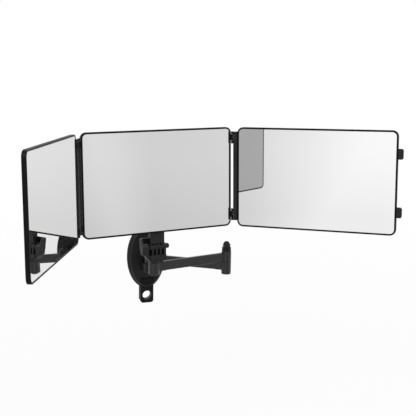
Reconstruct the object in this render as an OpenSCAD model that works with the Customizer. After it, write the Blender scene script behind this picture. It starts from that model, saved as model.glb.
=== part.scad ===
// Wall-mounted trifold vanity mirror on a folding two-link arm.
// Origin: centre of the oval base on the wall plane. +X right along the wall,
// +Y into the wall, +Z up. The mirror hangs in front of the wall, towards -Y.

/* [Wall base] */
// Width of the rubber suction pad
pad_w = 74.6; // [64:0.2:100]
// Height of the rubber suction pad
pad_h = 125.4; // [105:0.2:170]
// Thickness of the rubber suction pad
pad_t = 3.4; // [2:0.1:6]
// Thickness of the moulded base plate
plate_t = 9.2; // [8.6:0.1:14]
// Step of the base plate in from the pad's rim
rim_step = 0.9; // [0.4:0.1:2]
// Bevel round the front rim of the base plate
rim_bevel = 3.6; // [1:0.1:5]

/* [Pull tab and lever] */
// Width of the release lever
lever_w = 25.8; // [22:0.2:30]
// Thickness of the release lever
lever_t = 6; // [4:0.1:6.4]
// Reach of the lever's end below the base centre
lever_reach = 91.4; // [86:0.2:110]
// How far the pull tab stops short of the lever's end
tab_short = 2; // [0:0.2:6]
// Height of the lever's pin below the base centre
lever_pin_drop = 44; // [40:0.5:50]
// Diameter of the lever's pin
lever_pin_d = 2.4; // [1.6:0.1:3]
// Diameter of the hanging hole
tab_hole_d = 17.5; // [8:0.1:19]
// Distance of the hanging hole's centre above the lever's end
tab_hole_up = 15.2; // [12:0.1:17]

/* [Base bracket] */
// Width of the base bracket
hub_w = 24; // [21.5:0.2:34]
// Distance of the first pivot from the wall
pivot_out = 30.6; // [28:0.1:45]
// Thickness of the bracket's wall plate
hub_plate_t = 4.4; // [2:0.1:5]
// Height of the bracket's lower ear
hub_low_h = 20.6; // [8:0.2:22]
// Height of the bracket's upper ear
hub_top_h = 8; // [4:0.2:14]
// Diameter of the pivot bolts
bolt_d = 8; // [5:0.1:9]

/* [Arms] */
// Distance between the two pivots of each arm
arm_len = 153.5; // [110:0.5:260]
// Thickness of the flat arms
arm_t = 6; // [4:0.1:8]
// Height of the rear arm
rear_h = 16.8; // [12:0.1:24]
// Height of the front arm
front_h = 17; // [12:0.1:24]
// Height of the rear arm's lower edge above the base centre
rear_z = -6; // [-12:0.5:0]
// Outer diameter of the barrels at the base and at the mirror
end_barrel_d = 20; // [17:0.1:21]
// Outer diameter of the elbow barrels
elbow_d = 18; // [16:0.1:21]
// How far the rear elbow barrel hangs below its arm
elbow_drop = 7; // [2:0.2:14]
// How far the front elbow barrel stands above its arm
elbow_rise = 3; // [1:0.2:8]
// How far the front arm's mirror barrel hangs below its arm
pan_drop = 4.6; // [1:0.2:8]
// Thickness of the sleeve where an arm meets a barrel
sleeve_t = 9; // [8:0.1:12]
// Length of the sleeve beyond the barrel
sleeve_l = 11; // [2:0.5:20]

/* [Elbow hardware] */
// Height of the friction collar
collar_h = 6.8; // [3:0.1:12]
// Diameter of the friction collar
collar_d = 17; // [13:0.1:18]
// Width across the flats of the dome nut
nut_af = 12.4; // [10.4:0.1:13]
// Height of the nut's hexagon
nut_hex_h = 6; // [3:0.1:8]

/* [Tilt head] */
// Number of interleaved fingers, bracket and head together
finger_n = 7; // [5:2:7]
// Thickness of one finger
finger_w = 3.6; // [2.4:0.1:3.7]
// Radius of the rounded fingers
finger_r = 6.2; // [5:0.1:7]
// Sideways shift of the fingers from the head's turning axis
comb_shift = 2.3; // [-3:0.1:3]
// Height of the tilt axis above the head's seat
tilt_up = 28; // [25:0.1:36]
// Height of the head's solid lower block
block_h = 14; // [10:0.1:15]
// Diameter of the tilt rod
rod_d = 5; // [3:0.1:6]
// Width of the left ear
ear_w = 12.2; // [8:0.1:14]
// Gap between the left ear and the first finger
ear_gap = 2.3; // [0.2:0.1:3]
// Width of the right ear
cheek_w = 4.6; // [4:0.1:10]
// Thickness of the head's back plate
back_t = 2.5; // [1.5:0.1:5]
// Height of the back plate above the tilt axis
back_up = 15.5; // [6:0.1:16]
// Diameter of the thumb knob
knob_d = 9; // [8:0.1:14]
// Length of the thumb knob
knob_l = 7; // [6:0.1:14]
// Diameter of the clamp screw's head
clamp_d = 6.5; // [4:0.1:7]

/* [Mirror bracket] */
// Height of the plate behind the middle panel
bracket_up = 46; // [30:0.5:80]
// Thickness of the plate behind the middle panel
bracket_t = 3.4; // [2:0.1:5]
// Distance of the tilt axis below the middle panel
axis_down = 27.5; // [26:0.1:40]
// Distance of the tilt axis behind the middle panel's front
axis_back = 14.5; // [13.5:0.1:22]
// Sideways distance of the panel's centre from the tilt head
mid_shift = 5.5; // [-20:0.5:20]

/* [Panels] */
// Width of each mirror panel
panel_w = 285.8; // [180:0.5:360]
// Height of each mirror panel
panel_h = 180; // [130:0.5:260]
// Thickness of each mirror panel
panel_t = 7; // [6.2:0.1:10]
// Corner radius of the panels
corner_r = 10.5; // [7:0.1:24]
// Width of the frame's front lip
lip_w = 2.7; // [2.6:0.1:6]
// Thickness of the frame's front lip
lip_t = 0.5; // [0.5:0.1:2]
// Thickness of the frame's side wall
wall_t = 2; // [1.6:0.1:2.4]
// Thickness of the mirror glass
glass_t = 2.6; // [1.5:0.1:3]
// How far the back covers sit inside the frame's rear edge
back_inset = 0.5; // [0.2:0.1:1]

/* [Panel hinges] */
// Distance of a left hinge axis from its panel's edge
left_gap = 2.6; // [2.5:0.1:4]
// Depth of the left hinge axis behind the middle panel's front
left_depth = 0.4; // [0:0.1:1]
// Radius of the left hinge knuckles
left_knuckle_r = 2.2; // [1.9:0.1:2.2]
// Distance between the two axes of the left hinge strip
strip_len = 24.9; // [16:0.1:50]
// How far the hinge strip stops short of the panels at each end
strip_short = 9.3; // [3:0.1:14]
// Distance of the right hinge axis from the middle panel's edge
right_gap = -0.35; // [-0.6:0.05:4]
// Distance of the right hinge axis in front of the middle panel
right_front = 4.5; // [3.5:0.1:8]
// Radius of the right hinge knuckles
right_knuckle_r = 1.9; // [1.7:0.1:2.6]
// Width of the right panel's hinge stile
stile_w = 7.7; // [3:0.1:14]
// Height of one hinge knuckle
knuckle_h = 5.2; // [3:0.1:8]
// Height of the panel lug between two knuckles
lug_h = 10.2; // [5:0.1:16]
// How far the right stile stops short of the panels at each end
stile_short = 9.5; // [2:0.5:14]
// How far the right stile sits above the middle of the panels' height
stile_up = 1.5; // [-2:0.1:2]
// How far a latch clip stands out of the right panel
clip_out = 9; // [5:0.5:14]
// Height of one latch clip
clip_h = 18; // [10:0.5:30]
// Distance of the clips' centres from the panel's ends
clip_in = 40; // [30:0.5:60]

/* [Pose] */
// Direction of the rear arm from the wall's +X
rear_dir = -35.13; // [-60:0.1:-20]
// Direction of the front arm from the elbow
front_dir = 193.79; // [180:0.1:230]
// Turn of the mirror about the vertical
mirror_yaw = 10.33; // [-30:0.1:40]
// Backward lean of the mirror
mirror_lean = 2.35; // [-6:0.1:6]
// Fold of the left hinge strip towards the front
left_fold = 59.33; // [0:0.1:90]
// Turn of the left panel back from the hinge strip's line
left_turn = 2.26; // [0:0.1:4]
// Fold of the right panel towards the front
right_fold = 49.55; // [0:0.1:90]

/* [Hidden] */
$fn = 48;
black = [0.13, 0.13, 0.14];
dark = [0.2, 0.2, 0.21];
silver = [0.82, 0.84, 0.86];

run = 0.05;       // radial clearance of a pin that turns in a bore
face = 0.2;       // gap between two faces that turn on each other
clear = 0.4;      // gap round the lever and between the hinge pieces
eps = 0.01;

base_d = pad_t + plate_t;
plate_w = pad_w - 2 * rim_step;
plate_h = pad_h - 2 * rim_step;
lever_front = base_d + 0.3;
lever_back = lever_front - lever_t;
channel_floor = lever_back - clear;
tab_end = lever_reach - tab_short;
hole_z = -lever_reach + tab_hole_up;
pin_y = -(lever_front + lever_back) / 2;

bolt_r = bolt_d / 2;
rear_top = rear_z + rear_h;
hub_top_z = rear_top + face;
hub_low_z = rear_z - face;
front_z = rear_top + face;
front_top = front_z + front_h;
barrel_top = front_top + elbow_rise;
collar_z = barrel_top + face;
nut_z = collar_z + collar_h;
elbow_bot = rear_z - elbow_drop;
pan_bot = front_z - pan_drop;

elbow = [arm_len * cos(rear_dir), -pivot_out + arm_len * sin(rear_dir)];
pan = elbow + arm_len * [cos(front_dir), sin(front_dir)];

head_z = front_top + face;
tilt_z = head_z + tilt_up;
pitch = finger_w + face;
comb_w = finger_n * pitch - face;
comb_x = comb_shift - comb_w / 2;
ear_x1 = comb_x - ear_gap;
ear_x0 = ear_x1 - ear_w;
cheek_x0 = comb_x + comb_w + face;
cheek_x1 = cheek_x0 + cheek_w;
ear_r = finger_r + 0.6;
back_y = finger_r + clear;
neck_back = 1.5;
ear_wall = 2.4;
rod_r = rod_d / 2;
clamp_x = -12;
clamp_z = head_z + block_h - 4.8;

glass_gap = 0.15;
glass_in = wall_t + glass_gap;
pin_l_r = 1;
pin_r_r = 1;
strip_t = 4.6;
strip_z = strip_short;
strip_h = panel_h - 2 * strip_short;
stack_h = 2 * knuckle_h + lug_h + 2 * face;
stile_s = right_knuckle_r + clear;
right_off = stile_s + stile_w;

// ---- placing ------------------------------------------------------------
module at_pivot() translate([0, -pivot_out, 0]) rotate(rear_dir) children();
module at_elbow() translate([elbow.x, elbow.y, 0]) rotate(front_dir) children();
module at_pan() translate([pan.x, pan.y, 0]) rotate(mirror_yaw) children();
module at_mirror() at_pan() translate([0, 0, tilt_z]) rotate([-mirror_lean, 0, 0])
  translate([mid_shift, -axis_back, axis_down]) children();
module at_left_a() at_mirror() translate([-panel_w / 2 - left_gap, left_depth, 0])
  rotate(left_fold) mirror([1, 0, 0]) children();
module at_left_b() at_left_a() translate([strip_len, 0, 0]) rotate(left_turn) children();
module at_left_panel() at_left_b() translate([left_gap, 0, 0]) children();
module at_right() at_mirror() translate([panel_w / 2 + right_gap, -right_front, 0])
  rotate(-right_fold) children();
module at_right_panel() at_right() translate([right_off, 0, 0]) children();

// ---- shapes -------------------------------------------------------------
function ellipse(w, h, n = 96) = [for (i = [0:n - 1])
  [w / 2 * cos(360 * i / n), h / 2 * sin(360 * i / n)]];

// Extrudes an outline drawn in (x, z) between two depths in front of the wall.
module wall_slab(d0, d1) translate([0, -d0, 0]) rotate([90, 0, 0])
  linear_extrude(d1 - d0) children();

// Extrudes an outline drawn in (y, z) along x.
module along_x(x0, x1) translate([x0, 0, 0]) rotate([90, 0, 90])
  linear_extrude(x1 - x0) children();

// Turns a panel drawn flat (width, height down, depth) upright.
module upright() translate([0, 0, panel_h]) rotate([-90, 0, 0]) children();

module rrect(w, h, r) {
  translate([r, 0]) square([w - 2 * r, h]);
  translate([0, r]) square([w, h - 2 * r]);
  for (x = [r, w - r], y = [r, h - r]) translate([x, y]) circle(r);
}

module tab_outline(w, end, top, r) {
  translate([-w / 2, -end + r]) square([w, end - top - r]);
  translate([-w / 2 + r, -end]) square([w - 2 * r, r + 1]);
  for (s = [-1, 1]) translate([s * (w / 2 - r), -end + r]) circle(r);
}

module hang_hole(d0, d1) translate([0, -d0 + 1, hole_z]) rotate([90, 0, 0])
  cylinder(h = d1 - d0 + 2, d = tab_hole_d);

// ---- wall base ----------------------------------------------------------
module suction_pad() color(dark) difference() {
  wall_slab(0, pad_t) union() {
    polygon(ellipse(pad_w, pad_h));
    tab_outline(lever_w + 2 * clear, tab_end, pad_h / 2 - 8, 5);
  }
  // hollow under the pad, sealed against the wall by the rim
  translate([0, 0.5, 0]) rotate([90, 0, 0]) linear_extrude(1.7)
    polygon(ellipse(pad_w - 12, pad_h - 12));
  hang_hole(0, pad_t);
}

module base_plate() color(black) difference() {
  union() {
    wall_slab(pad_t, base_d - rim_bevel) polygon(ellipse(plate_w, plate_h));
    hull() {
      wall_slab(base_d - rim_bevel - eps, base_d - rim_bevel) polygon(ellipse(plate_w, plate_h));
      wall_slab(base_d - eps, base_d)
        polygon(ellipse(plate_w - 2 * rim_bevel, plate_h - 2 * rim_bevel));
    }
    wall_slab(pad_t, channel_floor)
      tab_outline(lever_w + 2 * clear, tab_end, plate_h / 2 - 8, 5);
  }
  // channel that takes the closed lever
  translate([0, -channel_floor, 0]) rotate([90, 0, 0]) linear_extrude(base_d)
    translate([-lever_w / 2 - clear, -lever_reach - 5])
      square([lever_w + 2 * clear, lever_reach + 5 - lever_pin_drop + lever_t / 2 + clear]);
  hang_hole(0, base_d);
  // bore of the lever pin, open at neither side
  translate([-lever_w / 2 - 4.5, pin_y, -lever_pin_drop]) rotate([0, 90, 0])
    cylinder(h = lever_w + 9, d = lever_pin_d);
}

module lever() color(black) difference() {
  union() {
    wall_slab(lever_back, lever_front)
      tab_outline(lever_w, lever_reach, lever_pin_drop, 5);
    along_x(-lever_w / 2, lever_w / 2) translate([pin_y, -lever_pin_drop])
      circle(lever_t / 2);
  }
  hang_hole(lever_back, lever_front);
  translate([-lever_w / 2 - 1, pin_y, -lever_pin_drop]) rotate([0, 90, 0])
    cylinder(h = lever_w + 2, d = lever_pin_d + 2 * run);
  // finger grip grooves above the hole
  for (k = [0:2]) translate([-lever_w / 2 + 4, -lever_front - 1, hole_z + tab_hole_d / 2 + 4 + 3 * k])
    rotate([0, 90, 0]) cylinder(h = lever_w - 8, r = 1.5);
}

module lever_pin() color(silver)
  translate([-lever_w / 2 - 4.5, pin_y, -lever_pin_drop]) rotate([0, 90, 0])
    cylinder(h = lever_w + 9, d = lever_pin_d);

// Top view of an ear of the base bracket: a tongue from the wall plate to a round nose.
module ear_top(r) {
  translate([0, -pivot_out]) circle(r);
  translate([-r, -pivot_out]) square([2 * r, pivot_out - base_d]);
}

module base_bracket() color(black) difference() {
  union() {
    // wall plate with rounded ends
    wall_slab(base_d, base_d + hub_plate_t) translate([-hub_w / 2, hub_low_z - hub_low_h])
      rrect(hub_w, hub_low_h + rear_h + 2 * face + hub_top_h, 4);
    translate([0, 0, hub_low_z - hub_low_h + 4]) linear_extrude(hub_low_h - 4) ear_top(hub_w / 2);
    translate([0, -pivot_out, hub_low_z - hub_low_h + 2]) cylinder(h = 2, r1 = hub_w / 2 - 2, r2 = hub_w / 2);
    translate([0, 0, hub_top_z]) linear_extrude(hub_top_h) ear_top(hub_w / 2);
  }
  translate([0, -pivot_out, hub_low_z - hub_low_h + 4]) cylinder(h = hub_low_h + rear_h + hub_top_h, r = bolt_r);
}

module pivot_bolt() color(dark) translate([0, -pivot_out, 0]) {
  translate([0, 0, hub_low_z - hub_low_h + 4])
    cylinder(h = hub_top_z + hub_top_h - hub_low_z + hub_low_h - 4, r = bolt_r);
  translate([0, 0, hub_top_z + hub_top_h]) difference() {
    cylinder(h = 3, r1 = bolt_r + 2.6, r2 = bolt_r + 1.6);
    translate([0, 0, 1]) cylinder(h = 3, d = bolt_d * 0.62, $fn = 6);
  }
}

// ---- arms ---------------------------------------------------------------
// Flat bar with broken edges along x.
module bar(x0, x1, t, h) {
  c = 0.8;
  along_x(x0, x1) polygon([[-t / 2 + c, 0], [t / 2 - c, 0], [t / 2, c], [t / 2, h - c],
    [t / 2 - c, h], [-t / 2 + c, h], [-t / 2, h - c], [-t / 2, c]]);
}

module arm_bar(r0, r1, h, first = true) {
  bar(0, arm_len, arm_t, h);
  if (first) bar(0, r0 + sleeve_l, sleeve_t, h);
  bar(arm_len - r1 - sleeve_l, arm_len, sleeve_t, h);
}

// Barrel with a fine chamfer at both ends.
module barrel(d, h) {
  c = 0.6;
  rotate_extrude() polygon([[0, 0], [d / 2 - c, 0], [d / 2, c], [d / 2, h - c], [d / 2 - c, h], [0, h]]);
}

module rear_arm() color(black) at_pivot() difference() {
  union() {
    translate([0, 0, rear_z]) arm_bar(end_barrel_d / 2, elbow_d / 2, rear_h);
    translate([0, 0, rear_z]) barrel(end_barrel_d, rear_h);
    translate([arm_len, 0, elbow_bot]) barrel(elbow_d, rear_top - elbow_bot);
  }
  translate([0, 0, rear_z - 1]) cylinder(h = rear_h + 2, r = bolt_r + run);
  translate([arm_len, 0, elbow_bot - 1]) cylinder(h = rear_top - elbow_bot + 2, r = bolt_r);
}

module front_arm() color(black) at_elbow() difference() {
  union() {
    translate([0, 0, front_z]) arm_bar(elbow_d / 2, end_barrel_d / 2, front_h, false);
    translate([0, 0, front_z]) barrel(elbow_d, barrel_top - front_z);
    translate([arm_len, 0, pan_bot]) barrel(end_barrel_d, front_top - pan_bot);
  }
  translate([0, 0, front_z - 1]) cylinder(h = barrel_top - front_z + 2, r = bolt_r + run);
  translate([arm_len, 0, pan_bot - 1]) cylinder(h = front_top - pan_bot + 2, r = bolt_r + run);
}

module elbow_bolt() color(dark) at_elbow() {
  translate([0, 0, elbow_bot]) cylinder(h = nut_z + nut_hex_h - 1 - elbow_bot, r = bolt_r);
  translate([0, 0, elbow_bot]) mirror([0, 0, 1])
    rotate_extrude() intersection() {
      translate([0, -8.5]) circle(r = 10.2, $fn = 96);
      square([bolt_r + 2.6, 3]);
    }
}

module friction_collar() color(black) at_elbow() translate([0, 0, collar_z]) difference() {
  barrel(collar_d, collar_h);
  translate([0, 0, -1]) cylinder(h = collar_h + 2, r = bolt_r);
}

module dome_nut() color(black) at_elbow() translate([0, 0, nut_z]) difference() {
  union() {
    rotate(15) cylinder(h = nut_hex_h, d = nut_af / cos(30), $fn = 6);
    intersection() {
      translate([0, 0, nut_hex_h - 0.6]) sphere(d = nut_af);
      translate([0, 0, nut_hex_h - eps]) cylinder(h = nut_af, d = nut_af);
    }
  }
  translate([0, 0, -1]) cylinder(h = nut_hex_h, r = bolt_r);
}

// ---- tilt head ----------------------------------------------------------
// Side view of a finger that stands on the lower block, ending round at the axis.
module finger_up(r, z0) {
  translate([0, tilt_z]) circle(r);
  translate([-r, z0]) square([2 * r, tilt_z - z0]);
}

module tilt_head() color(black) at_pan() difference() {
  block_top = head_z + block_h;
  barrel_r = end_barrel_d / 2;
  union() {
    // lower block, drawn in from the ear to the barrel
    translate([0, finger_r + clear, 0]) rotate([90, 0, 0]) linear_extrude(2 * finger_r + 2)
      polygon([[-barrel_r, head_z], [barrel_r, head_z], [cheek_x1, head_z + 5], [cheek_x1, block_top],
        [ear_x1 - ear_w / 2, block_top], [ear_x1 - ear_w / 2, block_top - 1.5], [-barrel_r, head_z + 2.5]]);
    translate([0, 0, head_z]) cylinder(h = 4, r = barrel_r);
    // left ear and right cheek
    along_x(ear_x0, ear_x1) {
      translate([0, tilt_z]) circle(ear_r);
      polygon([[-ear_r, block_top + 1.5], [1.5, block_top + 1.5], [back_y, tilt_z - 3], [back_y, tilt_z], [-ear_r, tilt_z]]);
    }
    // side wall of the ear, leaning back to the top of the back plate
    along_x(ear_x0, ear_x0 + ear_wall) polygon([[-ear_r, block_top + 1.5], [1.5, block_top + 1.5],
      [back_y + back_t, tilt_z + back_up - 4], [back_y + back_t, tilt_z + back_up], [0, tilt_z + back_up], [-ear_r, tilt_z + 1]]);
    along_x(ear_x1 - ear_w / 2, ear_x1) translate([-ear_r, block_top - 1]) square([ear_r + back_y, 4]);
    along_x(cheek_x0, cheek_x1) {
      finger_up(finger_r, block_top - 1);
      translate([0, block_top - 1]) square([back_y, tilt_z - block_top + 1]);
    }
    // fingers between those of the bracket
    for (k = [1:2:finger_n - 2]) along_x(comb_x + k * pitch, comb_x + k * pitch + finger_w) {
      finger_up(finger_r, block_top - 1);
      translate([0, block_top - 1]) square([back_y, tilt_z - block_top + 1]);
    }
    // back plate with rounded upper corners
    translate([0, back_y + back_t, 0]) rotate([90, 0, 0]) linear_extrude(back_t) {
      polygon([[ear_x0 + 6, block_top - 1], [cheek_x1 + 2, block_top - 1], [cheek_x1 + 2, tilt_z + back_up - 5],
        [cheek_x1 - 3, tilt_z + back_up], [ear_x0, tilt_z + back_up], [ear_x0, tilt_z + back_up - 4]]);
      translate([cheek_x1 - 3, tilt_z + back_up - 5]) circle(5);
    }
  }
  // bore of the tilt rod, closed by the ear's side wall
  translate([ear_x0 + ear_wall, 0, tilt_z]) rotate([0, 90, 0]) cylinder(h = cheek_x1 - ear_x0, r = rod_r);
  // blind bore of the pan bolt, and the clamp screw's seat
  translate([0, 0, head_z - 1]) cylinder(h = 9, r = bolt_r);
  translate([clamp_x, -finger_r + 2, clamp_z]) rotate([90, 0, 0]) cylinder(h = 8, d = clamp_d);
}

module pan_bolt() color(dark) at_pan() {
  translate([0, 0, pan_bot - face]) cylinder(h = head_z + 8 - pan_bot + face, r = bolt_r);
  translate([0, 0, pan_bot - face - 2]) cylinder(h = 2, r1 = bolt_r + 1.6, r2 = bolt_r + 2.6);
}

module clamp_screw() color(dark) at_pan() translate([clamp_x, -finger_r + 2, clamp_z])
  rotate([90, 0, 0]) difference() {
    cylinder(h = 5, d = clamp_d);
    translate([0, 0, 2.6]) cylinder(h = 4, d = clamp_d * 0.55, $fn = 6);
  }

module tilt_rod() color(dark) at_pan() translate([ear_x0 + ear_wall, 0, tilt_z]) rotate([0, 90, 0])
  cylinder(h = cheek_x1 + knob_l - 3 - ear_x0 - ear_wall, r = rod_r);

module thumb_knob() color(dark) at_pan() translate([cheek_x1 + face, 0, tilt_z]) rotate([0, 90, 0])
  difference() {
    rotate_extrude() polygon([[0, 0], [knob_d / 2 - 1.2, 0], [knob_d / 2, 1.2], [knob_d / 2, knob_l - 1],
      [knob_d / 2 - 1, knob_l], [0, knob_l]]);
    translate([0, 0, -1]) cylinder(h = knob_l - 1.5, r = rod_r + run);
    for (a = [0:45:315]) rotate(a) translate([knob_d / 2 + 0.7, 0, -1]) cylinder(h = knob_l, r = 1.5);
  }

// ---- mirror bracket -----------------------------------------------------
module mirror_bracket() color(black) at_mirror() translate([-mid_shift, 0, 0]) difference() {
  front = axis_back - 9;
  rear = axis_back + neck_back;
  union() {
    // fingers hanging from the block
    for (k = [0:2:finger_n - 1]) along_x(comb_x + k * pitch, comb_x + k * pitch + finger_w) {
      translate([axis_back, -axis_down]) circle(finger_r);
      translate([axis_back - finger_r, -axis_down]) square([finger_r + neck_back, finger_r + 3]);
    }
    // block under the panel, rounded at its upper corners
    along_x(comb_x, comb_x + comb_w) polygon([[front, -axis_down + finger_r + 1.5],
      [front + 1, -axis_down + finger_r + 0.8], [rear, -axis_down + finger_r + 0.8], [rear, 0],
      [panel_t + bracket_t, 4], [panel_t, 4], [panel_t, -face], [front, -face]]);
    // plate behind the middle panel
    upright_plate(comb_x, comb_w);
    // stiffening rib
    along_x(comb_x + comb_w / 2 - 1.5, comb_x + comb_w / 2 + 1.5)
      polygon([[rear, -6], [rear + 0.01, -2], [panel_t + bracket_t, bracket_up * 0.7],
        [panel_t + 1, bracket_up * 0.7], [panel_t + 1, -6]]);
  }
  translate([comb_x - 1, axis_back, -axis_down]) rotate([0, 90, 0])
    cylinder(h = comb_w + 2, r = rod_r + run);
  for (p = screw_spots()) translate([p.x, panel_t - 1, p.y]) rotate([-90, 0, 0]) cylinder(h = 8, r = 1.6);
}

function screw_spots() = [for (x = [5, comb_w - 5], z = [14, bracket_up - 7]) [comb_x + x, z]];

module upright_plate(x, w) translate([x, panel_t + bracket_t, 0]) rotate([90, 0, 0])
  linear_extrude(bracket_t) {
    square([w, bracket_up - 6]);
    translate([6, 0]) square([w - 12, bracket_up]);
    for (u = [6, w - 6]) translate([u, bracket_up - 6]) circle(6);
  }

module bracket_screws() color(silver) at_mirror() translate([-mid_shift, 0, 0])
  for (p = screw_spots()) translate([p.x, panel_t, p.y]) rotate([-90, 0, 0]) {
    cylinder(h = bracket_t, r = 1.6);
    translate([0, 0, bracket_t]) cylinder(h = 1.6, r1 = 3, r2 = 2);
  }

// ---- panels -------------------------------------------------------------
// Section of the frame: distance in from the outer edge, depth from the front.
function frame_section() = [[0.4, 0], [lip_w - 0.3, 0], [lip_w, 0.3], [lip_w, lip_t], [wall_t, lip_t],
  [wall_t, panel_t], [0.6, panel_t], [0, panel_t - 0.6], [0, 0.4]];

module frame_side(len) translate([0, len, 0]) rotate([90, 0, 0])
  linear_extrude(len) polygon(frame_section());

module frame_corner() rotate_extrude(angle = 90)
  polygon([for (p = frame_section()) [corner_r - p.x, p.y]]);

module panel_frame() upright() {
  w = panel_w;
  h = panel_h;
  r = corner_r;
  translate([0, r, 0]) frame_side(h - 2 * r);
  translate([w, h - r, 0]) rotate(180) frame_side(h - 2 * r);
  translate([w - r, 0, 0]) rotate(90) frame_side(w - 2 * r);
  translate([r, h, 0]) rotate(-90) frame_side(w - 2 * r);
  translate([w - r, h - r, 0]) frame_corner();
  translate([r, h - r, 0]) rotate(90) frame_corner();
  translate([r, r, 0]) rotate(180) frame_corner();
  translate([w - r, r, 0]) rotate(270) frame_corner();
}

module panel_sheet(d0, d1) upright() translate([glass_in, glass_in, d0]) linear_extrude(d1 - d0)
  rrect(panel_w - 2 * glass_in, panel_h - 2 * glass_in, corner_r - glass_in);

module panel_glass() color(silver) panel_sheet(lip_t, lip_t + glass_t);
module panel_back() color(dark) panel_sheet(lip_t + glass_t, panel_t - back_inset);

// Heights at which the two knuckle stacks of each hinge start.
function left_zs() = [strip_short, panel_h - strip_short - stack_h];
function right_zs() = [stile_short + stile_up, panel_h - stile_short + stile_up - stack_h];

// Lug of a panel on the left hinges: x = 0 is the axis, the panel lies at x > left_gap.
module left_lugs() for (z = left_zs()) translate([0, 0, z + knuckle_h + face])
  difference() {
    union() {
      cylinder(h = lug_h, r = left_knuckle_r);
      cube([left_gap + wall_t / 2, left_knuckle_r, lug_h]);
    }
    translate([0, 0, -1]) cylinder(h = lug_h + 2, r = pin_l_r + run);
  }

// Lug of the middle panel on the right hinge: x = 0 is the axis, in front of the frame's edge.
module right_lugs() for (z = right_zs()) translate([0, 0, z + knuckle_h + face])
  difference() {
    union() {
      cylinder(h = lug_h, r = right_knuckle_r);
      translate([-0.6, 0, 0]) cube([right_knuckle_r + 0.6, right_front + 0.6, lug_h]);
      translate([-right_gap - wall_t / 2, right_front, 0])
        cube([wall_t / 2 + right_gap + right_knuckle_r, 4, lug_h]);
    }
    translate([0, 0, -1]) cylinder(h = lug_h + 2, r = pin_r_r + run);
  }

module middle_frame() color(black) at_mirror() {
  translate([-panel_w / 2, 0, 0]) panel_frame();
  translate([-panel_w / 2 - left_gap, left_depth, 0]) left_lugs();
  translate([panel_w / 2 + right_gap, -right_front, 0]) right_lugs();
}
module middle_glass() at_mirror() translate([-panel_w / 2, 0, 0]) panel_glass();
module middle_back() at_mirror() translate([-panel_w / 2, 0, 0]) panel_back();

module left_frame() color(black) {
  at_left_panel() panel_frame();
  at_left_b() left_lugs();
}
module left_glass() at_left_panel() panel_glass();
module left_back() at_left_panel() panel_back();

module right_frame() color(black) at_right_panel() panel_frame();
module right_glass() at_right_panel() panel_glass();
module right_back() at_right_panel() panel_back();

// ---- hinge pieces -------------------------------------------------------
// Knuckles of the strip, one long bead between the stacks: x = 0 is the axis, the web lies at x > 0.
module strip_knuckles() {
  low = left_zs()[0];
  top = left_zs()[1];
  far = knuckle_h + lug_h + 2 * face;
  for (span = [[low, knuckle_h], [low + far, top + knuckle_h - low - far], [top + far, knuckle_h]])
    translate([0, 0, span[0]]) {
      cylinder(h = span[1], r = left_knuckle_r);
      cube([left_knuckle_r + clear + 1, left_knuckle_r, span[1]]);
    }
}

module hinge_strip() color(black) at_left_a() difference() {
  web0 = left_knuckle_r + clear;
  web1 = strip_len - web0;
  union() {
    translate([0, 0, strip_z]) linear_extrude(strip_h)
      polygon([[web0, 0], [web0 + 1, 0], [web0 + 2, 0.7], [web1 - 2, 0.7], [web1 - 1, 0], [web1, 0],
        [web1, strip_t - 1], [web1 - 1, strip_t], [web0 + 1, strip_t], [web0, strip_t - 1]]);
    strip_knuckles();
    translate([strip_len, 0, 0]) mirror([1, 0, 0]) strip_knuckles();
  }
  for (x = [0, strip_len], k = [0, 1]) translate([x, 0, left_zs()[k] - 1 + k])
    cylinder(h = stack_h + 1, r = pin_l_r);
}

module strip_pins() color(silver) at_left_a()
  for (x = [0, strip_len], z = left_zs()) translate([x, 0, z])
    cylinder(h = stack_h, r = pin_l_r);

module right_stile() color(black) at_right() difference() {
  union() {
    translate([0, 0, stile_short + stile_up]) linear_extrude(panel_h - 2 * stile_short)
      polygon([[stile_s, -0.6], [stile_s + 0.9, -1.5], [right_off - 1.6, -1.5], [right_off, 0.9],
        [right_off, panel_t - 1.2], [right_off - 1.2, panel_t - 1.2], [stile_s, panel_t - 2.4]]);
    for (z = right_zs(), u = [0, knuckle_h + lug_h + 2 * face]) translate([0, 0, z + u]) {
      cylinder(h = knuckle_h, r = right_knuckle_r);
      translate([0, -0.5, 0]) cube([stile_s + 1, right_knuckle_r + 0.5, knuckle_h]);
    }
  }
  for (z = right_zs()) translate([0, 0, z - 1]) cylinder(h = stack_h + 2, r = pin_r_r);
}

module stile_pins() color(silver) at_right()
  for (z = right_zs()) translate([0, 0, z]) cylinder(h = stack_h, r = pin_r_r);

// Hooked latch clip on the free edge of the right panel.
module latch_clips() color(black) at_right_panel()
  for (z = [clip_in, panel_h - clip_in]) translate([panel_w, 0, z - clip_h / 2]) intersection() {
    linear_extrude(clip_h) polygon([[0, 1], [clip_out - 3, 1], [clip_out - 2.4, -1.4], [clip_out - 1, -1.8],
      [clip_out, -1], [clip_out, panel_t - 2.4], [clip_out - 1.2, panel_t - 1.2], [0, panel_t - 1.2]]);
    translate([-4, panel_t, 0]) rotate([90, 0, 0]) linear_extrude(panel_t + 3)
      rrect(clip_out + 4, clip_h, 3.4);
  }

suction_pad();
base_plate();
lever();
lever_pin();
base_bracket();
pivot_bolt();
rear_arm();
front_arm();
elbow_bolt();
friction_collar();
dome_nut();
tilt_head();
pan_bolt();
clamp_screw();
tilt_rod();
thumb_knob();
mirror_bracket();
bracket_screws();
middle_frame();
middle_glass();
middle_back();
hinge_strip();
strip_pins();
left_frame();
left_glass();
left_back();
right_frame();
right_glass();
right_back();
right_stile();
stile_pins();
latch_clips();
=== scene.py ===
"""Dresses the wall-mounted trifold vanity mirror: finishes, trim and a plain pale stage."""

import math

import bmesh
import bpy
from mathutils import Matrix, Vector


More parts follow.
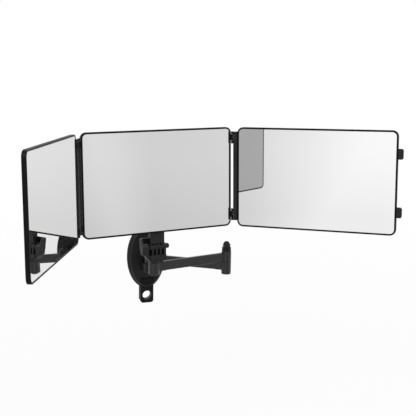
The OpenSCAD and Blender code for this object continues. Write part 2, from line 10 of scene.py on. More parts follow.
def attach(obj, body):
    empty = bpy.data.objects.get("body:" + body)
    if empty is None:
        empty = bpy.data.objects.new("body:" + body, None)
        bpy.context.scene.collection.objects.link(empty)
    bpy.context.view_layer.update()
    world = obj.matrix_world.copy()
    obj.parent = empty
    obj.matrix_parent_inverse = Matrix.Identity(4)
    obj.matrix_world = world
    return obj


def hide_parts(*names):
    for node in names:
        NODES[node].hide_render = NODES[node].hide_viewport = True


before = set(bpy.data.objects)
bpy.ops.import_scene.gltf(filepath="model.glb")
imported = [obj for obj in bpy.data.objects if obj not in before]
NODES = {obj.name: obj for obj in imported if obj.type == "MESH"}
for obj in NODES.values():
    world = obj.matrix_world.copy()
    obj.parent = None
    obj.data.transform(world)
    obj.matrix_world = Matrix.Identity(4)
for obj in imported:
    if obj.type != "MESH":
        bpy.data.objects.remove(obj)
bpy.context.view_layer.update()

bl_info = {
    "name": "Trifold vanity mirror",
    "version": (1, 0, 0),
    "blender": (4, 5, 0),
    "location": "3D View > Sidebar > Trifold Mirror",
    "description": "Dresses a wall-mounted trifold vanity mirror on its folding arm",
    "category": "Object",
}


# ---- places --------------------------------------------------------------
# Sizes and places of the solids that the trim sits on, in metres and degrees.
PLATE_W, PLATE_H, PLATE_FRONT = 0.0728, 0.1236, 0.0126
PAD_W, PAD_H, PAD_T = 0.0746, 0.1254, 0.0034
PANEL_W, PANEL_H, PANEL_T, CORNER_R, LIP_W, LIP_T = 0.2858, 0.180, 0.007, 0.0105, 0.0027, 0.0005
PAN, TILT_Z, YAW, LEAN = (-0.02354, -0.15552), 0.0562, 10.33, 2.35
MID_SHIFT, AXIS_BACK, AXIS_DOWN = 0.0055, 0.0145, 0.0275
LEFT_GAP, LEFT_DEPTH, LEFT_FOLD, LEFT_TURN, STRIP_LEN = 0.0026, 0.0004, 59.33, 2.26, 0.0249
RIGHT_GAP, RIGHT_FRONT, RIGHT_FOLD, RIGHT_OFF = -0.00035, 0.0045, 49.55, 0.010
LEFT_ENDS = (0.0093, 0.1707)
RIGHT_ENDS = (0.0110, 0.0320, 0.1510, 0.1720)
COMB_X, COMB_W, BRACKET_T = -0.0109, 0.0264, 0.0034
# Bracket screws: where they stand on the plate, shank radius and head height, the socket's share
# of the head's radius, and the most that a screw is turned, in radians, with the seed for it.
SCREW_XS, SCREW_ZS = (0.005, COMB_W - 0.005), (0.014, 0.039)
SCREW_SHANK_R, SCREW_HEAD_H, SCREW_KEY = 0.0016, 0.0016, 0.48
SCREW_TURN, SCREW_SEED = 1.047, 7
# Beads of the base plate: how far one lies in from the rim, and one back from the face. SUNK is
# the share of its radius that the edge bead lies in from the rim, and a seal stands off its glass.
FACE_BEAD_IN, EDGE_BEAD_BACK, SUNK = 0.0040, 0.0046, 0.4
# Steps round a bead, an oval, a panel's corner, a pin's dome (round and up) and a screw.
BEAD_SIDES, OVAL_STEPS, CORNER_STEPS, DOME_STEPS, SCREW_SIDES = 10, 144, 12, (20, 10), 36
# Vertices nearer than this are one.
WELD = 1e-7


# ---- surface values ------------------------------------------------------
# Features a metre: blotches, worn patches, haze on the glass and drawn lines on steel, which
# LINE_STRETCH then crowds along each axis.
BLOTCHES, WORN_PATCHES, HAZE, DRAWN_LINES = 26.0, 160.0, 9.0, 6.0
LINE_STRETCH = (400.0, 40.0, 40.0)
# Black pieces: roughness of their clear coat, depth of the relief in metres and samples of the
# softened edges. Bare steel: the same, with its own roughness, edge radius and relief strength.
COAT_ROUGH, COAT_DEPTH, COAT_SAMPLES = 0.12, 0.00012, 6
STEEL_ROUGH, STEEL_DEPTH, STEEL_SAMPLES = 0.28, 0.0001, 4
STEEL_EDGE, STEEL_RELIEF = 0.0002, 0.08
# Cosine between an edge's softened face and its flat face where it is fully worn, and not worn.
WORN_FULL, WORN_NONE = 0.86, 0.995


def move(x, y, z):
    return Matrix.Translation((x, y, z))


def turn(degrees, axis="Z"):
    return Matrix.Rotation(math.radians(degrees), 4, axis)


AT_MIRROR = (move(*PAN, 0) @ turn(YAW) @ move(0, 0, TILT_Z) @ turn(-LEAN, "X")
             @ move(MID_SHIFT, -AXIS_BACK, AXIS_DOWN))
AT_LEFT_A = (AT_MIRROR @ move(-PANEL_W / 2 - LEFT_GAP, LEFT_DEPTH, 0) @ turn(LEFT_FOLD)
             @ Matrix.Scale(-1, 4, (1, 0, 0)))
AT_LEFT = AT_LEFT_A @ move(STRIP_LEN, 0, 0) @ turn(LEFT_TURN) @ move(LEFT_GAP, 0, 0)
AT_RIGHT_AXIS = AT_MIRROR @ move(PANEL_W / 2 + RIGHT_GAP, -RIGHT_FRONT, 0) @ turn(-RIGHT_FOLD)
AT_RIGHT = AT_RIGHT_AXIS @ move(RIGHT_OFF, 0, 0)
UPRIGHT = turn(90, "X")


# ---- node helpers --------------------------------------------------------
class Writer:
    """Adds nodes to a node tree and joins them."""

    def __init__(self, tree):
        self.tree = tree

    def add(self, kind, **settings):
        """Adds a node; an argument named in_NAME sets an input, any other sets a property."""
        node = self.tree.nodes.new(kind)
        for key, value in settings.items():
            if key.startswith("in_"):
                node.inputs[key[3:].replace("_", " ")].default_value = value
            else:
                setattr(node, key, value)
        return node

    def link(self, out, into):
        self.tree.links.new(out, into)

    def feed(self, value, socket):
        """Gives a socket a number, a colour or the output of another node."""
        if hasattr(value, "is_linked"):
            self.link(value, socket)
        else:
            socket.default_value = value


class Shader(Writer):
    """Writes the nodes of a surface or of the world."""

    def __init__(self, tree):
        super().__init__(tree)
        tree.nodes.clear()

    def noise(self, vector, scale, detail, rough=0.5):
        """Noise of so many features a metre."""
        node = self.add("ShaderNodeTexNoise", in_Scale=scale, in_Detail=detail, in_Roughness=rough)
        self.link(vector, node.inputs["Vector"])
        return node.outputs["Fac"]

    def spread(self, value, low, high, start=0.3, stop=0.7):
        """Maps a value between start and stop onto low to high."""
        node = self.add("ShaderNodeMapRange")
        node.inputs["From Min"].default_value = start
        node.inputs["From Max"].default_value = stop
        node.inputs["To Min"].default_value = low
        node.inputs["To Max"].default_value = high
        self.link(value, node.inputs["Value"])
        return node.outputs["Result"]

    def blend(self, fac, a, b):
        """A colour between a and b."""
        a, b = ((*c, 1.0) if isinstance(c, tuple) else c for c in (a, b))
        return self.mix("RGBA", fac, a, b)

    def mix(self, data_type, fac, a, b):
        node = self.add("ShaderNodeMix", data_type=data_type)
        for value, name in ((fac, "Factor"), (a, "A"), (b, "B")):
            self.feed(value, node.inputs[name])
        return node.outputs["Result"]

    def math(self, operation, a, b=None):
        node = self.add("ShaderNodeMath", operation=operation)
        self.feed(a, node.inputs[0])
        if b is not None:
            self.feed(b, node.inputs[1])
        return node.outputs["Value"]

    def vector_math(self, operation, a, b=None):
        node = self.add("ShaderNodeVectorMath", operation=operation)
        self.feed(a, node.inputs[0])
        if b is not None:
            self.feed(b, node.inputs[1])
        return node

    def relief(self, height, strength, depth, edge, samples, bsdf):
        """Softens the edges, lays a fine relief over them and returns the softened normal."""
        bevel = self.add("ShaderNodeBevel", samples=samples, in_Radius=edge)
        bump = self.add("ShaderNodeBump", in_Strength=strength, in_Distance=depth)
        self.link(height, bump.inputs["Height"])
        self.link(bevel.outputs["Normal"], bump.inputs["Normal"])
        self.link(bump.outputs["Normal"], bsdf.inputs["Normal"])
        return bevel.outputs["Normal"]


def new_material(name):
    mat = bpy.data.materials.new(name)
    mat.use_nodes = True
    return mat, Shader(mat.node_tree)


def new_surface(name):
    """A material with its writer, its shader node and the coordinates of the object."""
    mat, s = new_material(name)
    bsdf = s.add("ShaderNodeBsdfPrincipled")
    s.link(bsdf.outputs["BSDF"], s.add("ShaderNodeOutputMaterial").inputs["Surface"])
    return mat, s, bsdf, s.add("ShaderNodeTexCoord").outputs["Object"]


def tinted(color, k):
    return tuple(min(1.0, c * k) for c in color)


def coated(name, color, rough, spread=0.06, grain=1800.0, bump=0.12, sheen=0.35, coat=0.0,
           edge=0.0004, wear=1.25):
    """Black moulded or painted surface: fine grain, faint blotches and softened edges."""
    mat, s, bsdf, coord = new_surface(name)
    bsdf.inputs["Specular IOR Level"].default_value = sheen
    bsdf.inputs["Coat Weight"].default_value = coat
    bsdf.inputs["Coat Roughness"].default_value = COAT_ROUGH
    cloud = s.noise(coord, BLOTCHES, 4.0, 0.55)
    s.link(s.spread(cloud, rough - spread, rough + spread), bsdf.inputs["Roughness"])
    body = s.blend(s.spread(cloud, 0.0, 1.0), tinted(color, 0.88), tinted(color, 1.14))
    soft = s.relief(s.noise(coord, grain, 3.0, 0.6), bump, COAT_DEPTH, edge, COAT_SAMPLES, bsdf)
    flat = s.add("ShaderNodeNewGeometry").outputs["True Normal"]
    dot = s.vector_math("DOT_PRODUCT", soft, flat).outputs["Value"]
    rim = s.spread(dot, 1.0, 0.0, WORN_FULL, WORN_NONE)
    patchy = s.math("MULTIPLY", rim, s.spread(s.noise(coord, WORN_PATCHES, 3.0), 0.1, 1.0))
    s.link(s.blend(patchy, body, tinted(color, wear * 1.4)), bsdf.inputs["Base Color"])
    return mat


def brushed(name, color):
    """Bare steel with fine drawn lines."""
    mat, s, bsdf, coord = new_surface(name)
    bsdf.inputs["Metallic"].default_value = 1.0
    stretch = s.add("ShaderNodeMapping", in_Scale=LINE_STRETCH)
    s.link(coord, stretch.inputs["Vector"])
    lines = s.noise(stretch.outputs["Vector"], DRAWN_LINES, 3.0)
    s.link(s.spread(lines, STEEL_ROUGH - 0.08, STEEL_ROUGH + 0.1), bsdf.inputs["Roughness"])
    s.link(s.blend(lines, tinted(color, 0.85), tinted(color, 1.1)), bsdf.inputs["Base Color"])
    s.relief(lines, STEEL_RELIEF, STEEL_DEPTH, STEEL_EDGE, STEEL_SAMPLES, bsdf)
    return mat


def silvered(name, color):
    """Mirror glass: silvered sheet with a barely uneven polish."""
    mat, s, bsdf, coord = new_surface(name)
    bsdf.inputs["Metallic"].default_value = 1.0
    haze = s.noise(coord, HAZE, 3.0)
    s.link(s.blend(haze, tinted(color, 0.985), tinted(color, 1.01)), bsdf.inputs["Base Color"])
    s.link(s.spread(haze, 0.004, 0.02), bsdf.inputs["Roughness"])
    return mat


def set_material(obj, mat):
    obj.data.materials.clear()
    obj.data.materials.append(mat)


# ---- grown pieces --------------------------------------------------------
class Growth(Writer):
    """A geometry node tree with named inputs, and the finished pieces grown from it."""

    def __init__(self, name, inputs):
        super().__init__(bpy.data.node_groups.new(name, "GeometryNodeTree"))
        face = self.tree.interface
        face.new_socket(name="Geometry", in_out="INPUT", socket_type="NodeSocketGeometry")
        for label, kind in inputs.items():
            face.new_socket(name=label, in_out="INPUT", socket_type="NodeSocket" + kind)
        face.new_socket(name="Geometry", in_out="OUTPUT", socket_type="NodeSocketGeometry")
        self.start = self.add("NodeGroupInput")
        self.end = self.add("NodeGroupOutput")

    def given(self, label):
        return self.start.outputs[label]

    def vector(self, x, y, z):
        """A vector whose parts are numbers or sockets."""
        node = self.add("ShaderNodeCombineXYZ")
        for axis, value in zip("XYZ", (x, y, z)):
            self.feed(value, node.inputs[axis])
        return node.outputs["Vector"]

    def bead(self, path, radius):
        """A round bead along a closed path."""
        profile = self.add("GeometryNodeCurvePrimitiveCircle", in_Resolution=BEAD_SIDES)
        self.link(radius, profile.inputs["Radius"])
        sweep = self.add("GeometryNodeCurveToMesh")
        self.link(path, sweep.inputs["Curve"])
        self.link(profile.outputs["Curve"], sweep.inputs["Profile Curve"])
        return sweep.outputs["Mesh"]

    def close(self, geometry):
        """Ends the tree: real geometry, smooth, with its material."""
        real = self.add("GeometryNodeRealizeInstances")
        smooth = self.add("GeometryNodeSetShadeSmooth")
        paint = self.add("GeometryNodeSetMaterial")
        self.link(geometry, smooth.inputs["Geometry"])
        self.link(smooth.outputs["Geometry"], real.inputs["Geometry"])
        self.link(real.outputs["Geometry"], paint.inputs["Geometry"])
        self.link(self.given("Material"), paint.inputs["Material"])
        self.link(paint.outputs["Geometry"], self.end.inputs["Geometry"])

    def grow(self, name, place, values, points=()):
        """Runs the tree on some points and leaves a plain mesh at its place."""
        seed_mesh = bpy.data.meshes.new(name + "_seed")
        seed_mesh.from_pydata(points, [], [])
        seed = bpy.data.objects.new(name + "_seed", seed_mesh)
        bpy.context.scene.collection.objects.link(seed)
        modifier = seed.modifiers.new("grow", "NODES")
        modifier.node_group = self.tree
        for item in self.tree.interface.items_tree:
            if item.in_out == "INPUT" and item.name in values:
                modifier[item.identifier] = values[item.name]
        graph = bpy.context.evaluated_depsgraph_get()
        mesh = bpy.data.meshes.new_from_object(seed.evaluated_get(graph), depsgraph=graph)
        seed.modifiers.remove(modifier)
        bpy.data.objects.remove(seed)
        mesh.name = name
        mesh.transform(place)
        return finished(name, mesh)


def finished(name, mesh):
    """An object for a closed mesh, with its faces turned outwards."""
    if not mesh.polygons:
        raise RuntimeError(f"{name} came out empty")
    work = bmesh.new()
    work.from_mesh(mesh)
    bmesh.ops.remove_doubles(work, verts=work.verts, dist=WELD)
    bmesh.ops.recalc_face_normals(work, faces=work.faces)
    work.to_mesh(mesh)
    work.free()
    obj = bpy.data.objects.new(name, mesh)
    bpy.context.scene.collection.objects.link(obj)
    return obj


def ring_growth():
    """An oval bead: a unit circle stretched to its half width and half height."""
    g = Growth("oval_bead", {"Half width": "Float", "Half height": "Float", "Bead radius": "Float",
                             "Material": "Material"})
    circle = g.add("GeometryNodeCurvePrimitiveCircle", in_Resolution=OVAL_STEPS, in_Radius=1.0)
    stretch = g.add("GeometryNodeTransform")
    g.link(circle.outputs["Curve"], stretch.inputs["Geometry"])
    g.link(g.vector(g.given("Half width"), g.given("Half height"), 1.0), stretch.inputs["Scale"])
    g.close(g.bead(stretch.outputs["Geometry"], g.given("Bead radius")))
    return g


def seal_growth():
    """A bead along a rectangle with rounded corners, centred on the origin."""
    g = Growth("panel_seal", {"Width": "Float", "Height": "Float", "Corner radius": "Float",
                              "Bead radius": "Float", "Material": "Material"})
    box = g.add("GeometryNodeCurvePrimitiveQuadrilateral")
    g.link(g.given("Width"), box.inputs["Width"])
    g.link(g.given("Height"), box.inputs["Height"])
    fillet = g.add("GeometryNodeFilletCurve", mode="POLY", in_Count=CORNER_STEPS,
                   in_Limit_Radius=True)
    g.link(box.outputs["Curve"], fillet.inputs["Curve"])
    g.link(g.given("Corner radius"), fillet.inputs["Radius"])
    g.close(g.bead(fillet.outputs["Curve"], g.given("Bead radius")))
    return g


def head_growth():
    """A low domed head on each point."""
    g = Growth("pin_heads", {"Head radius": "Float", "Head height": "Float",
                             "Material": "Material"})
    dome = g.add("GeometryNodeMeshUVSphere", in_Segments=DOME_STEPS[0], in_Rings=DOME_STEPS[1],
                 in_Radius=1.0)
    shape = g.add("GeometryNodeTransform")
    g.link(dome.outputs["Mesh"], shape.inputs["Geometry"])
    g.link(g.vector(g.given("Head radius"), g.given("Head radius"), g.given("Head height")),
           shape.inputs["Scale"])
    spots = g.add("GeometryNodeInstanceOnPoints")
    g.link(g.given("Geometry"), spots.inputs["Points"])
    g.link(shape.outputs["Geometry"], spots.inputs["Instance"])
    g.close(spots.outputs["Instances"])
    return g


def screw_growth():
    """One given screw on each point, each turned by its own fixed chance."""
    g = Growth("screw_set", {"Screw": "Object", "Material": "Material"})
    model = g.add("GeometryNodeObjectInfo")
    g.link(g.given("Screw"), model.inputs["Object"])
    chance = g.add("FunctionNodeRandomValue", data_type="FLOAT")
    chance.inputs["Max"].default_value = SCREW_TURN
    chance.inputs["Seed"].default_value = SCREW_SEED
    spots = g.add("GeometryNodeInstanceOnPoints")
    g.link(g.given("Geometry"), spots.inputs["Points"])
    g.link(model.outputs["Geometry"], spots.inputs["Instance"])
    g.link(g.vector(0.0, 0.0, chance.outputs["Value"]), spots.inputs["Rotation"])
    g.close(spots.outputs["Instances"])
    return g


def socket_screw(shank_r, shank_l, head_r, head_h, key_r):
    """A button-head screw with a hexagon socket, head up, its seat at z = 0."""
    n = SCREW_SIDES
    # Radius and height of each ring, foot to head. A radius of nothing is the socket's hexagon.
    rings = [(shank_r, -shank_l + 0.0003), (shank_r, -0.0001), (head_r, 0.0),
             (head_r, head_h * 0.35), (head_r * 0.93, head_h * 0.68),
             (head_r * 0.78, head_h * 0.9), (head_r * 0.6, head_h),
             (0.0, head_h), (0.0, head_h * 0.3)]
    work = bmesh.new()
    rows = []
    for radius, z in rings:
        row = []
        for k in range(n):
            a = 2 * math.pi * k / n
            r = radius or key_r * math.cos(math.pi / 6) / math.cos(a % (math.pi / 3) - math.pi / 6)
            row.append(work.verts.new((r * math.cos(a), r * math.sin(a), z)))
        rows.append(row)
    for low, high in zip(rows, rows[1:]):
        for k in range(n):
            work.faces.new((low[k], low[(k + 1) % n], high[(k + 1) % n], high[k]))
    work.faces.new(reversed(rows[0]))
    work.faces.new(rows[-1])
    mesh = bpy.data.meshes.new("screw_model")
    work.to_mesh(mesh)
    work.free()
    return bpy.data.objects.new("screw_model", mesh)


# ---- settings ------------------------------------------------------------
def colour(label, about, value):
    return bpy.props.FloatVectorProperty(
        name=label, description=about, subtype="COLOR", size=3, min=0.0, max=1.0, default=value)


def length(label, about, value, least, most):
    return bpy.props.FloatProperty(
        name=label, description=about, unit="LENGTH", precision=5, min=least, max=most,
        default=value)


def power(label, about, value):
    return bpy.props.FloatProperty(
        name=label, description=about, unit="POWER", min=0.0, max=500.0, default=value)


class TRIFOLD_PG_settings(bpy.types.PropertyGroup):
    """Colours, trim sizes and light levels of the dressed mirror."""

    frame_color: colour("Frame colour", "Colour of the panel frames", (0.0035, 0.0035, 0.0038))
    plastic_color: colour("Plastic colour", "Colour of the base, the head and the knob",
                          (0.009, 0.009, 0.0095))
    arm_color: colour("Arm colour", "Colour of the painted arms", (0.012, 0.012, 0.0125))
    rubber_color: colour("Rubber colour", "Colour of the suction pad", (0.008, 0.008, 0.008))
    steel_color: colour("Steel colour", "Colour of bare steel pins and screws", (0.52, 0.52, 0.53))
    silver_color: colour("Mirror colour", "Tint of the silvered glass", (0.955, 0.955, 0.953))
    rim_bead: length("Rim bead", "Radius of the beads on the wall base's rim",
                     0.0008, 0.0003, 0.001)
    seal_bead: length("Seal bead", "Radius of the seal round each glass",
                      0.00022, 0.0001, 0.0005)
    head_radius: length("Pin head", "Radius of the hinge pins' heads", 0.0016, 0.001, 0.0018)
    head_height: length("Pin head height", "Height of the hinge pins' heads",
                        0.0006, 0.0003, 0.001)
    screw_radius: length("Screw head", "Radius of the bracket's screw heads",
                         0.0031, 0.002, 0.004)
    key_power: power("Key light", "Power of the large light from the upper left", 26.0)
    fill_power: power("Fill light", "Power of the light from the right", 12.0)
    rim_power: power("Back light", "Power of the light from behind", 9.0)
    ambient: bpy.props.FloatProperty(
        name="Ambient", description="Strength of the pale room light", min=0.0, max=2.0,
        default=0.55)
    floor_drop: length("Floor drop", "Distance of the floor below the wall base's centre",
                       0.30, 0.1, 2.0)


def settings():
    return bpy.context.scene.trifold_mirror


# ---- finishes ------------------------------------------------------------
# How each finish is made from its name and the settings.
FINISHES = {
    "frame_black": lambda n, p: coated(
        n, p.frame_color, rough=0.42, grain=2400.0, bump=0.05, sheen=0.11, edge=0.0002, wear=1.2),
    "strip_black": lambda n, p: coated(
        n, tinted(p.frame_color, 2.4), rough=0.36, bump=0.08, sheen=0.32, edge=0.0003, wear=1.2),
    "back_black": lambda n, p: coated(
        n, tinted(p.frame_color, 3.0), rough=0.62, grain=1300.0, bump=0.4, sheen=0.25),
    "moulded_black": lambda n, p: coated(
        n, p.plastic_color, rough=0.42, grain=1500.0, bump=0.16, sheen=0.28),
    # Painted highlight: the face bead's colour is the plastic made half again lighter so it shows as
    # a light arc on the rim; its higher gloss is real.
    "rim_gloss": lambda n, p: coated(
        n, tinted(p.plastic_color, 1.5), rough=0.28, bump=0.05, sheen=0.6, coat=0.1),
    # Painted shade: the lever is the base's plastic made darker, standing in for the shadow it lies
    # in below the plate.
    "lever_black": lambda n, p: coated(
        n, tinted(p.plastic_color, 0.7), rough=0.45, grain=1500.0, bump=0.16, sheen=0.15, wear=1.1),
    "head_black": lambda n, p: coated(
        n, tinted(p.plastic_color, 1.1), rough=0.42, grain=1600.0, bump=0.14, sheen=0.28),
    "arm_paint": lambda n, p: coated(
        n, p.arm_color, rough=0.28, spread=0.05, grain=900.0, bump=0.07, sheen=0.5, coat=0.02,
        edge=0.0003, wear=1.1),
    "nut_black": lambda n, p: coated(
        n, tinted(p.arm_color, 0.7), rough=0.2, spread=0.04, bump=0.04, sheen=0.2, coat=0.04,
        wear=1.1),
    "bolt_black": lambda n, p: coated(
        n, tinted(p.arm_color, 0.8), rough=0.34, bump=0.08, sheen=0.3),
    "pad_rubber": lambda n, p: coated(
        n, p.rubber_color, rough=0.6, spread=0.08, grain=2600.0, bump=0.3, sheen=0.3, wear=1.1),
    "bare_steel": lambda n, p: brushed(n, p.steel_color),
    "silvered_glass": lambda n, p: silvered(n, p.silver_color),
}
# The parts that wear each finish.
WEARS = {
    "pad_rubber": ["suction_pad"],
    "moulded_black": ["base_plate", "base_bracket"],
    # The lever wears the darker copy of the plastic, a painted shade.
    "lever_black": ["lever"],
    "head_black": ["tilt_head", "mirror_bracket", "thumb_knob"],
    "arm_paint": ["rear_arm", "front_arm"],
    "nut_black": ["dome_nut", "friction_collar"],
    "bolt_black": ["pivot_bolt", "elbow_bolt", "pan_bolt", "clamp_screw", "tilt_rod"],
    "bare_steel": ["lever_pin", "bracket_screws", "strip_pins", "stile_pins"],
    "frame_black": ["middle_frame", "left_frame", "right_frame"],
    "strip_black": ["hinge_strip", "right_stile", "latch_clips"],
    "back_black": ["middle_back", "left_back", "right_back"],
    "silvered_glass": ["middle_glass", "left_glass", "right_glass"],
}

# Finishes made so far. The loaded solids bring materials that share some of these names,
# so a finish is looked up here and not by its name in the file.
MADE = {}


def finish(name):
    """The finish of that name, made when it is first asked for."""
    if name not in MADE:
        MADE[name] = FINISHES[name](name, settings())
    return MADE[name]


def fit(obj, finish_name, body):
    """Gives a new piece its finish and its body."""
    set_material(obj, finish(finish_name))
    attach(obj, body)


# ---- pieces --------------------------------------------------------------
class TRIFOLD_OT_finishes(bpy.types.Operator):
    """Gives every part of the mirror its own material."""

    bl_idname = "trifold.finishes"
    bl_label = "Part finishes"

    def execute(self, context):
        for name, parts in WEARS.items():
            for part in parts:
                set_material(NODES[part], finish(name))
        missing = set(NODES) - {part for parts in WEARS.values() for part in parts}
        if missing:
            raise RuntimeError(f"no finish for {sorted(missing)}")
        return {"FINISHED"}


class TRIFOLD_OT_rim_beads(bpy.types.Operator):
    """Moulds the oval beads on the rims of the base plate and the suction pad."""

    bl_idname = "trifold.rim_beads"
    bl_label = "Base rim beads"

    def execute(self, context):
        p = settings()
        tree = ring_growth()
        for name, half_w, half_h, depth, finish_name, slot in (
                # The face bead wears the lighter colour of a painted highlight.
                ("plate_rim_bead", PLATE_W / 2 - FACE_BEAD_IN, PLATE_H / 2 - FACE_BEAD_IN,
                 PLATE_FRONT, "rim_gloss", "black_plastic"),
                ("plate_edge_bead", PLATE_W / 2 - p.rim_bead * SUNK,
                 PLATE_H / 2 - p.rim_bead * SUNK, PLATE_FRONT - EDGE_BEAD_BACK,
                 "moulded_black", "black_plastic"),
                ("pad_lip_bead", PAD_W / 2 - p.rim_bead, PAD_H / 2 - p.rim_bead, PAD_T,
                 "pad_rubber", "pad_rubber")):
            bead = tree.grow(name, move(0, -depth, 0) @ UPRIGHT,
                             {"Half width": half_w, "Half height": half_h, "Bead radius": p.rim_bead,
                              "Material": finish(finish_name)})
            fit(bead, finish_name, "base")
        return {"FINISHED"}


class TRIFOLD_OT_glass_seals(bpy.types.Operator):
    """Lays a fine seal between each glass and its frame."""

    bl_idname = "trifold.glass_seals"
    bl_label = "Glass seals"

    def execute(self, context):
        p = settings()
        tree = seal_growth()
        inset = LIP_W + p.seal_bead * 0.5
        for side, place in (("middle", AT_MIRROR @ move(-PANEL_W / 2, 0, 0)), ("left", AT_LEFT),
                            ("right", AT_RIGHT)):
            front = move(PANEL_W / 2, LIP_T - p.seal_bead * SUNK, PANEL_H / 2)
            seal = tree.grow(f"{side}_glass_seal", place @ front @ UPRIGHT,
                             {"Width": PANEL_W - 2 * inset, "Height": PANEL_H - 2 * inset,
                              "Corner radius": CORNER_R - inset, "Bead radius": p.seal_bead,
                              "Material": finish("pad_rubber")})
            fit(seal, "pad_rubber", side)
        return {"FINISHED"}


class TRIFOLD_OT_pin_heads(bpy.types.Operator):
    """Sets the domed heads on the ends of the hinge pins."""

    bl_idname = "trifold.pin_heads"
    bl_label = "Hinge pin heads"

    def execute(self, context):
        p = settings()
        tree = head_growth()
        values = {"Head radius": p.head_radius, "Head height": p.head_height,
                  "Material": finish("bolt_black")}
        strip_points = [(x, 0.0, z) for x in (0.0, STRIP_LEN) for z in LEFT_ENDS]
        stile_points = [(0.0, 0.0, z) for z in RIGHT_ENDS]
        for name, place, points, body in (
                ("strip_pin_heads", AT_LEFT_A, strip_points, "strip"),
                ("stile_pin_heads", AT_RIGHT_AXIS, stile_points, "right")):
            heads = tree.grow(name, place, values, points)
            fit(heads, "bolt_black", body)
        return {"FINISHED"}


class TRIFOLD_OT_bracket_screws(bpy.types.Operator):
    """Makes the socket screws that hold the bracket's plate to the middle panel."""

    bl_idname = "trifold.bracket_screws"
    bl_label = "Bracket screws"

    def execute(self, context):
        p = settings()
        model = socket_screw(SCREW_SHANK_R, BRACKET_T, p.screw_radius, SCREW_HEAD_H,
                             p.screw_radius * SCREW_KEY)
        place = AT_MIRROR @ move(-MID_SHIFT, PANEL_T + BRACKET_T, 0) @ turn(-90, "X")
        points = [(COMB_X + x, -z, 0.0) for x in SCREW_XS for z in SCREW_ZS]
        screws = screw_growth().grow("bracket_socket_screws", place,
                                     {"Screw": model, "Material": finish("bare_steel")}, points)
        mesh = model.data
        bpy.data.objects.remove(model)
        bpy.data.meshes.remove(mesh)
        fit(screws, "bare_steel", "middle")
        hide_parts("bracket_screws")
        return {"FINISHED"}


# ---- stage ---------------------------------------------------------------
# Brightness that glossy surfaces see round the object: (bearing in degrees from +X, level),
# where 1 is white.
STUDIO = ((0, 0.90), (40, 0.95), (90, 0.84), (125, 0.90), (165, 0.96), (176, 0.53), (200, 0.53),
          (209, 0.70), (214, 0.755), (222, 0.985), (232, 1.0), (255, 0.90), (266, 0.50),
          (282, 0.42), (294, 0.58), (301.5, 0.755), (305, 0.66), (310, 0.685), (327, 0.80),
          (345, 0.92), (360, 0.90))
# The point that the floor's bearings are taken from. Then the dimming of what lies low, and the
# start and end of the white sky, both by the height of a direction of length 1.
STUDIO_HEART = (0.0, -0.2, 0.17)
DIM_BELOW, DIM_FROM, DIM_TO = 0.90, -0.17, -0.06
SKY_FROM, SKY_TO = 0.15, 0.6
FLOOR_R, FLOOR_SIDES, FLOOR_COLOR = 20.0, 128, (0.8, 0.8, 0.8, 1.0)
# Share of the floor's look that is its own glow, near the object and far from it, and the
# distances in metres where that share starts and stops rising. The rest is lit and takes shadow.
PALE_NEAR, PALE_FAR, PALE_FROM, PALE_TO = 0.92, 1.0, 0.6, 2.4
# Lamps: name, place, aim, size and the setting that holds the power.
LAMPS = (("key", (-1.3, -1.9, 1.9), (0.0, -0.15, 0.05), (1.4, 1.4), "key_power"),
         ("fill", (1.9, -1.3, 1.3), (0.05, -0.15, 0.05), (0.9, 1.4), "fill_power"),
         ("back", (0.4, 1.2, 1.8), (0.0, -0.1, 0.1), (1.2, 0.8), "rim_power"))
# Camera: place in metres, the way it looks, its right-hand side, then lens and sensor in mm.
CAMERA_AT = (-0.40690862, -1.59705655, 0.41890603)
CAMERA_AHEAD = Vector((0.31144946, 0.93067355, -0.19195305)).normalized()
CAMERA_RIGHT = Vector((0.94918878, -0.31428526, 0.01629229)).normalized()
CAMERA_LENS, CAMERA_SENSOR, CAMERA_NEAR = 74.78, 36.0, 0.05


def studio_level(s, direction):
    """Brightness of the pale studio along a direction: soft boxes with dimmer gaps."""
    parts = s.add("ShaderNodeSeparateXYZ")
    s.link(direction, parts.inputs[0])
    bearing = s.math("ARCTAN2", parts.outputs["Y"], parts.outputs["X"])
    share = s.math("FRACT", s.math("MULTIPLY", bearing, 1.0 / (2.0 * math.pi)))
    ramp = s.add("ShaderNodeValToRGB")
    stops = ramp.color_ramp.elements
    while len(stops) > 1:
        stops.remove(stops[-1])
    stops[0].position = 0.0
    for k, (degrees, level) in enumerate(STUDIO):
        stop = stops[0] if k == 0 else stops.new(degrees / 360.0)
        stop.color = (level, level, level, 1.0)
    s.link(share, ramp.inputs["Fac"])
    low = s.spread(parts.outputs["Z"], DIM_BELOW, 1.0, DIM_FROM, DIM_TO)
    around = s.math("MULTIPLY", ramp.outputs["Color"], low)
    return s.mix("FLOAT", s.spread(parts.outputs["Z"], 0.0, 1.0, SKY_FROM, SKY_TO), around, 1.0)


def looked_at(s, path):
    """1 for what the camera sees, straight or through a clear piece."""
    return s.math("MAXIMUM", path.outputs["Is Camera Ray"], path.outputs["Is Transmission Ray"])


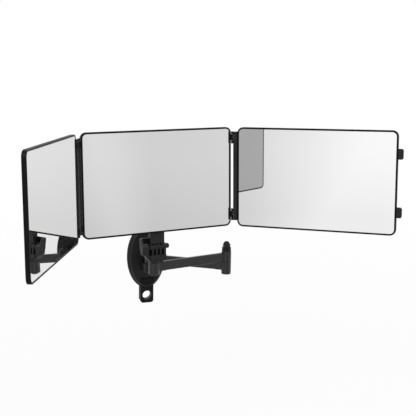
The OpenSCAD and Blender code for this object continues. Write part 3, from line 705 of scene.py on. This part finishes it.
class TRIFOLD_OT_stage(bpy.types.Operator):
    """Builds the floor, the room light, the lamps and the camera."""

    bl_idname = "trifold.stage"
    bl_label = "Stage"

    def execute(self, context):
        p = settings()
        scene = context.scene
        scene.view_settings.view_transform = "Standard"
        self.floor(p)
        self.room(p, scene)
        for lamp in LAMPS:
            self.lamp(p, scene, *lamp)
        self.camera(scene)
        return {"FINISHED"}

    def lamp(self, p, scene, name, at, aim, size, power):
        lamp = bpy.data.lights.new(name, "AREA")
        lamp.shape = "RECTANGLE"
        lamp.size, lamp.size_y = size
        lamp.energy = getattr(p, power)
        obj = bpy.data.objects.new(name, lamp)
        obj.location = at
        obj.rotation_euler = (Vector(aim) - Vector(at)).to_track_quat("-Z", "Y").to_euler()
        scene.collection.objects.link(obj)

    def camera(self, scene):
        cam = bpy.data.cameras.new("camera")
        cam.sensor_width = CAMERA_SENSOR
        cam.lens = CAMERA_LENS
        cam.clip_start = CAMERA_NEAR
        obj = bpy.data.objects.new("camera", cam)
        up = CAMERA_RIGHT.cross(CAMERA_AHEAD).normalized()
        axes = Matrix((CAMERA_RIGHT, up, -CAMERA_AHEAD)).transposed()
        obj.matrix_world = move(*CAMERA_AT) @ axes.to_4x4()
        scene.collection.objects.link(obj)
        scene.camera = obj

    def floor(self, p):
        mesh = bpy.data.meshes.new("floor")
        ring = []
        for k in range(FLOOR_SIDES):
            a = 2 * math.pi * k / FLOOR_SIDES
            ring.append((FLOOR_R * math.cos(a), FLOOR_R * math.sin(a), -p.floor_drop))
        mesh.from_pydata(ring, [], [list(range(FLOOR_SIDES))])
        obj = bpy.data.objects.new("floor", mesh)
        bpy.context.scene.collection.objects.link(obj)
        mat, s = new_material("pale_floor")
        path = s.add("ShaderNodeLightPath")
        matte = s.add("ShaderNodeBsdfDiffuse", in_Color=FLOOR_COLOR)
        glow = s.add("ShaderNodeEmission")
        here = s.add("ShaderNodeTexCoord").outputs["Object"]
        place = s.vector_math("SUBTRACT", here, STUDIO_HEART).outputs["Vector"]
        studio = studio_level(s, s.vector_math("NORMALIZE", place).outputs["Vector"])
        s.link(s.mix("FLOAT", path.outputs["Is Glossy Ray"], 1.0, studio), glow.inputs["Strength"])
        away = s.vector_math("LENGTH", place).outputs["Value"]
        pale = s.spread(away, PALE_NEAR, PALE_FAR, PALE_FROM, PALE_TO)
        seen = looked_at(s, path)
        share = s.math("ADD", s.math("MULTIPLY", seen, pale), path.outputs["Is Glossy Ray"])
        mix = s.add("ShaderNodeMixShader")
        for out, into in zip((share, matte.outputs[0], glow.outputs[0]), mix.inputs):
            s.link(out, into)
        s.link(mix.outputs[0], s.add("ShaderNodeOutputMaterial").inputs["Surface"])
        set_material(obj, mat)

    def room(self, p, scene):
        world = bpy.data.worlds.new("room")
        scene.world = world
        world.use_nodes = True
        s = Shader(world.node_tree)
        path = s.add("ShaderNodeLightPath")
        studio = studio_level(s, s.add("ShaderNodeTexCoord").outputs["Generated"])
        level = s.mix("FLOAT", path.outputs["Is Glossy Ray"], p.ambient, studio)
        seen = looked_at(s, path)
        back = s.add("ShaderNodeBackground", in_Color=(1.0, 1.0, 1.0, 1.0))
        s.link(s.mix("FLOAT", seen, level, 1.0), back.inputs["Strength"])
        s.link(back.outputs[0], s.add("ShaderNodeOutputWorld").inputs["Surface"])


class TRIFOLD_PT_panel(bpy.types.Panel):
    """Lists the steps that dress the mirror."""

    bl_idname = "TRIFOLD_PT_panel"
    bl_label = "Trifold Mirror"
    bl_space_type = "VIEW_3D"
    bl_region_type = "UI"
    bl_category = "Trifold Mirror"

    def draw(self, context):
        column = self.layout.column(align=True)
        for step in STEPS:
            column.operator(step.bl_idname)
        p = settings()
        for name in TRIFOLD_PG_settings.__annotations__:
            column.prop(p, name)


STEPS = (TRIFOLD_OT_finishes, TRIFOLD_OT_rim_beads, TRIFOLD_OT_glass_seals, TRIFOLD_OT_pin_heads,
         TRIFOLD_OT_bracket_screws, TRIFOLD_OT_stage)
CLASSES = (TRIFOLD_PG_settings, *STEPS, TRIFOLD_PT_panel)


def register():
    for cls in CLASSES:
        bpy.utils.register_class(cls)
    bpy.types.Scene.trifold_mirror = bpy.props.PointerProperty(type=TRIFOLD_PG_settings)


def unregister():
    del bpy.types.Scene.trifold_mirror
    for cls in reversed(CLASSES):
        bpy.utils.unregister_class(cls)


def main():
    register()
    for step in STEPS:
        group, name = step.bl_idname.split(".")
        getattr(getattr(bpy.ops, group), name)()


if __name__ == "__main__":
    main()
